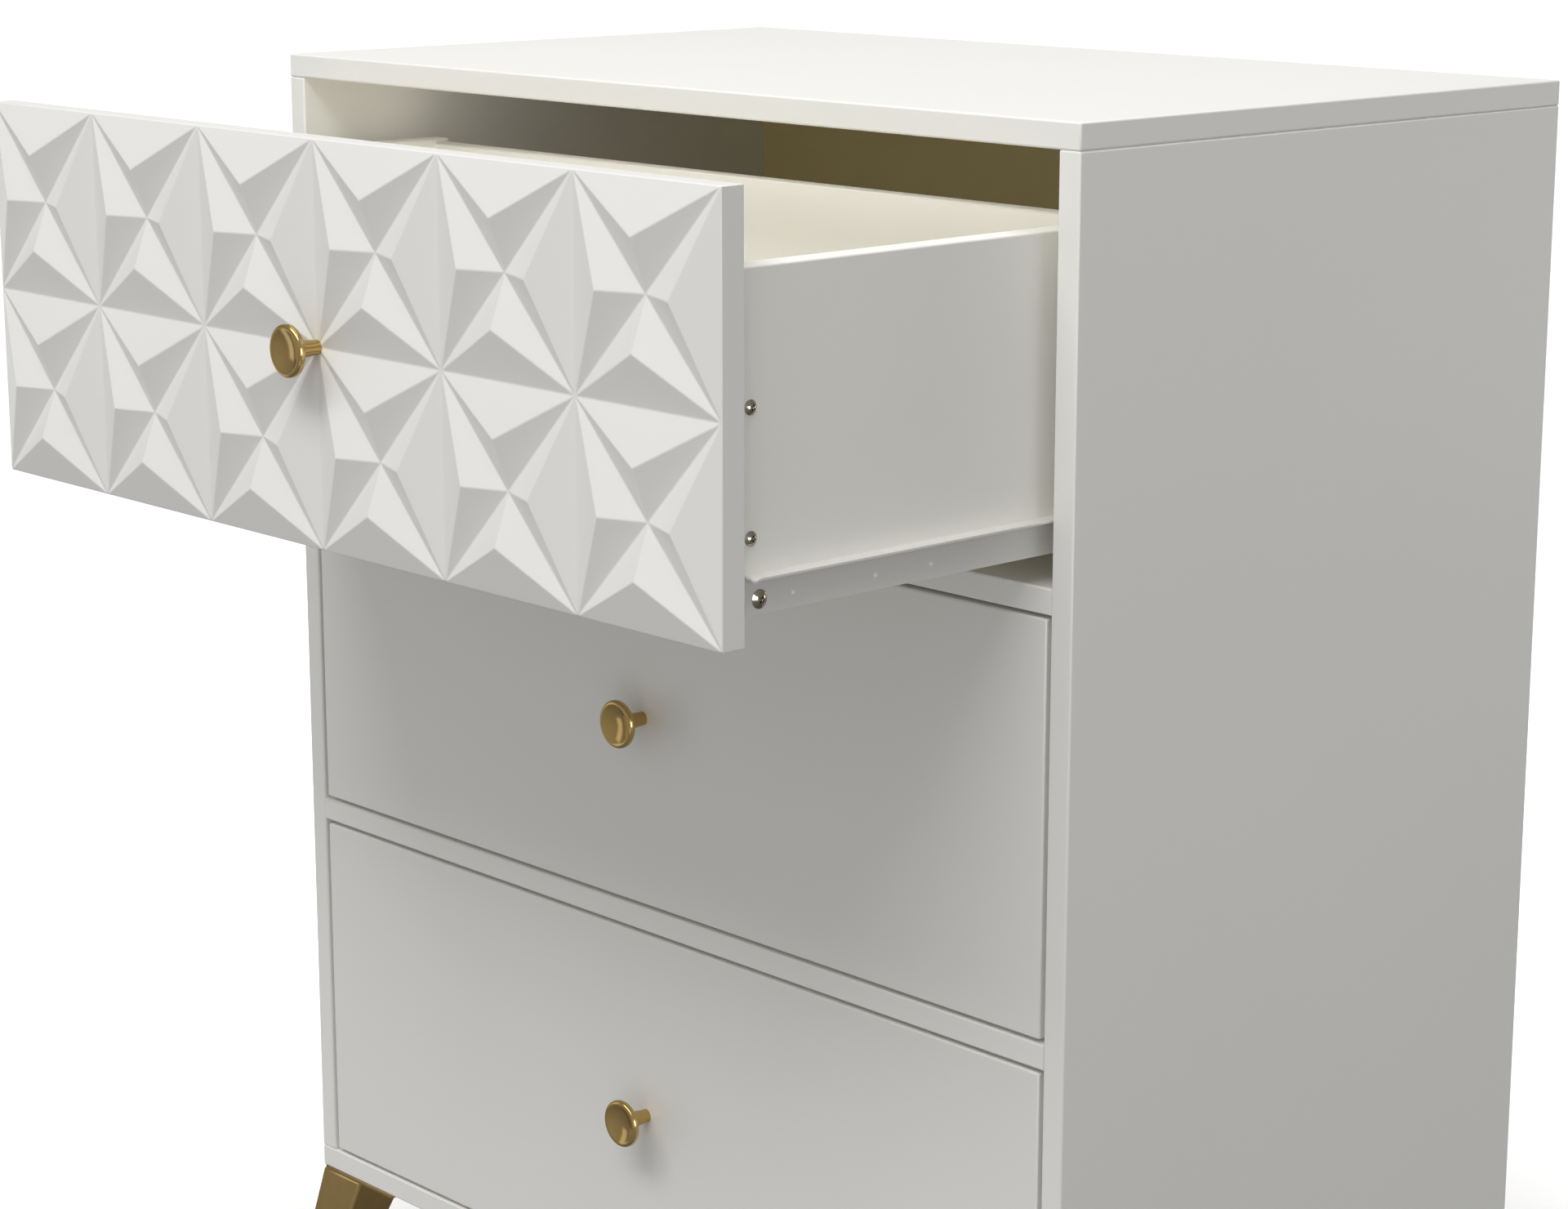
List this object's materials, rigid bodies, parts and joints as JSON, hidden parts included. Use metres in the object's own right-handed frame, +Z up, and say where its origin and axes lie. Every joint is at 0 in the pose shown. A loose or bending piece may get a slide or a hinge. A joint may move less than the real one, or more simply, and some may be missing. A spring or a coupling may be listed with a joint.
{
  "type": "chest of drawers",
  "caption": "White chest of drawers on splayed tapered brass legs, with brass knobs, roller slides and a faceted geometric relief across the upper drawer front",
  "frame": {"origin": "on the floor, under the middle of the space the chest takes up with its upper drawer pulled out as in the picture", "axes": "+Z up, -Y the way the drawer fronts face and the drawers pull out, +X to the right of someone facing the fronts"},
  "size_m": [0.802, 0.748, 0.98],
  "materials": {
    "white_board": "smooth white melamine on fibreboard",
    "white_lacquer": "satin white lacquer on fibreboard",
    "drawer_board": "matt off-white foil on fibreboard",
    "drawer_base": "off-white painted hardboard",
    "hardboard": "plain brown hardboard",
    "dowel_wood": "bare beech",
    "brass": "satin brass",
    "coated_steel": "white coated sheet steel",
    "nylon": "natural nylon",
    "zinc_steel": "yellowish zinc plate",
    "glide_plastic": "matt black"
  },
  "bodies": {
    "carcass": {"top_panel": "white_board", "left_side_panel": "white_board", "right_side_panel": "white_board", "bottom_panel": "white_board", "upper_rail": "white_board", "lower_rail": "white_board", "back_panel": "hardboard", "front_left_leg": "brass", "front_right_leg": "brass", "rear_left_leg": "brass", "rear_right_leg": "brass", "leg_screws": "zinc_steel", "carcass_cams": "zinc_steel", "carcass_screws": "zinc_steel", "cabinet_slide_screws": "zinc_steel", "leg_glides": "glide_plastic", "carcass_dowels": "dowel_wood", "lower_left_cabinet_slide": "coated_steel", "lower_right_cabinet_slide": "coated_steel", "middle_left_cabinet_slide": "coated_steel", "middle_right_cabinet_slide": "coated_steel", "upper_left_cabinet_slide": "coated_steel", "upper_right_cabinet_slide": "coated_steel"},
    "lower_drawer": {"lower_left_drawer_slide": "coated_steel", "lower_left_side": "drawer_board", "lower_right_drawer_slide": "coated_steel", "lower_right_side": "drawer_board", "lower_front": "white_lacquer", "lower_inner_front": "drawer_board", "lower_back": "drawer_board", "lower_bottom": "drawer_base", "lower_knob": "brass", "lower_drawer_screws": "zinc_steel"},
    "middle_drawer": {"middle_left_drawer_slide": "coated_steel", "middle_left_side": "drawer_board", "middle_right_drawer_slide": "coated_steel", "middle_right_side": "drawer_board", "middle_front": "white_lacquer", "middle_inner_front": "drawer_board", "middle_back": "drawer_board", "middle_bottom": "drawer_base", "middle_knob": "brass", "middle_drawer_screws": "zinc_steel"},
    "upper_drawer": {"upper_left_drawer_slide": "coated_steel", "upper_left_side": "drawer_board", "upper_right_drawer_slide": "coated_steel", "upper_right_side": "drawer_board", "upper_front": "white_lacquer", "upper_inner_front": "drawer_board", "upper_back": "drawer_board", "upper_bottom": "drawer_base", "upper_knob": "brass", "upper_drawer_screws": "zinc_steel"},
    "lower_cabinet_rollers": {"lower_cabinet_rollers": "nylon"},
    "lower_drawer_rollers": {"lower_drawer_rollers": "nylon"},
    "middle_cabinet_rollers": {"middle_cabinet_rollers": "nylon"},
    "middle_drawer_rollers": {"middle_drawer_rollers": "nylon"},
    "upper_cabinet_rollers": {"upper_cabinet_rollers": "nylon"},
    "upper_drawer_rollers": {"upper_drawer_rollers": "nylon"}
  },
  "joints": [
    {"name": "lower_drawer_slide", "type": "slide", "parent": "carcass", "child": "lower_drawer", "axis": [0, -1, 0], "range_m": [0, 0.258]},
    {"name": "middle_drawer_slide", "type": "slide", "parent": "carcass", "child": "middle_drawer", "axis": [0, -1, 0], "range_m": [0, 0.258]},
    {"name": "upper_drawer_slide", "type": "slide", "parent": "carcass", "child": "upper_drawer", "axis": [0, -1, 0], "range_m": [-0.248, 0.01]},
    {"name": "lower_cabinet_roller_spin", "type": "hinge", "parent": "carcass", "child": "lower_cabinet_rollers", "pos_m": [0, -0.066, 0.1962], "axis": [1, 0, 0], "continuous": true},
    {"name": "lower_drawer_roller_spin", "type": "hinge", "parent": "lower_drawer", "child": "lower_drawer_rollers", "pos_m": [0, 0.239, 0.194], "axis": [1, 0, 0], "continuous": true},
    {"name": "middle_cabinet_roller_spin", "type": "hinge", "parent": "carcass", "child": "middle_cabinet_rollers", "pos_m": [0, -0.066, 0.4707], "axis": [1, 0, 0], "continuous": true},
    {"name": "middle_drawer_roller_spin", "type": "hinge", "parent": "middle_drawer", "child": "middle_drawer_rollers", "pos_m": [0, 0.239, 0.4685], "axis": [1, 0, 0], "continuous": true},
    {"name": "upper_cabinet_roller_spin", "type": "hinge", "parent": "carcass", "child": "upper_cabinet_rollers", "pos_m": [0, -0.066, 0.7452], "axis": [1, 0, 0], "continuous": true},
    {"name": "upper_drawer_roller_spin", "type": "hinge", "parent": "upper_drawer", "child": "upper_drawer_rollers", "pos_m": [0, -0.009, 0.743], "axis": [1, 0, 0], "continuous": true}
  ],
  "couplings": [
    {"joint": "lower_cabinet_roller_spin", "follows": "lower_drawer_slide", "rad_per_m": 133.33},
    {"joint": "lower_drawer_roller_spin", "follows": "lower_drawer_slide", "rad_per_m": 133.33},
    {"joint": "middle_cabinet_roller_spin", "follows": "middle_drawer_slide", "rad_per_m": 133.33},
    {"joint": "middle_drawer_roller_spin", "follows": "middle_drawer_slide", "rad_per_m": 133.33},
    {"joint": "upper_cabinet_roller_spin", "follows": "upper_drawer_slide", "rad_per_m": 133.33},
    {"joint": "upper_drawer_roller_spin", "follows": "upper_drawer_slide", "rad_per_m": 133.33}
  ]
}
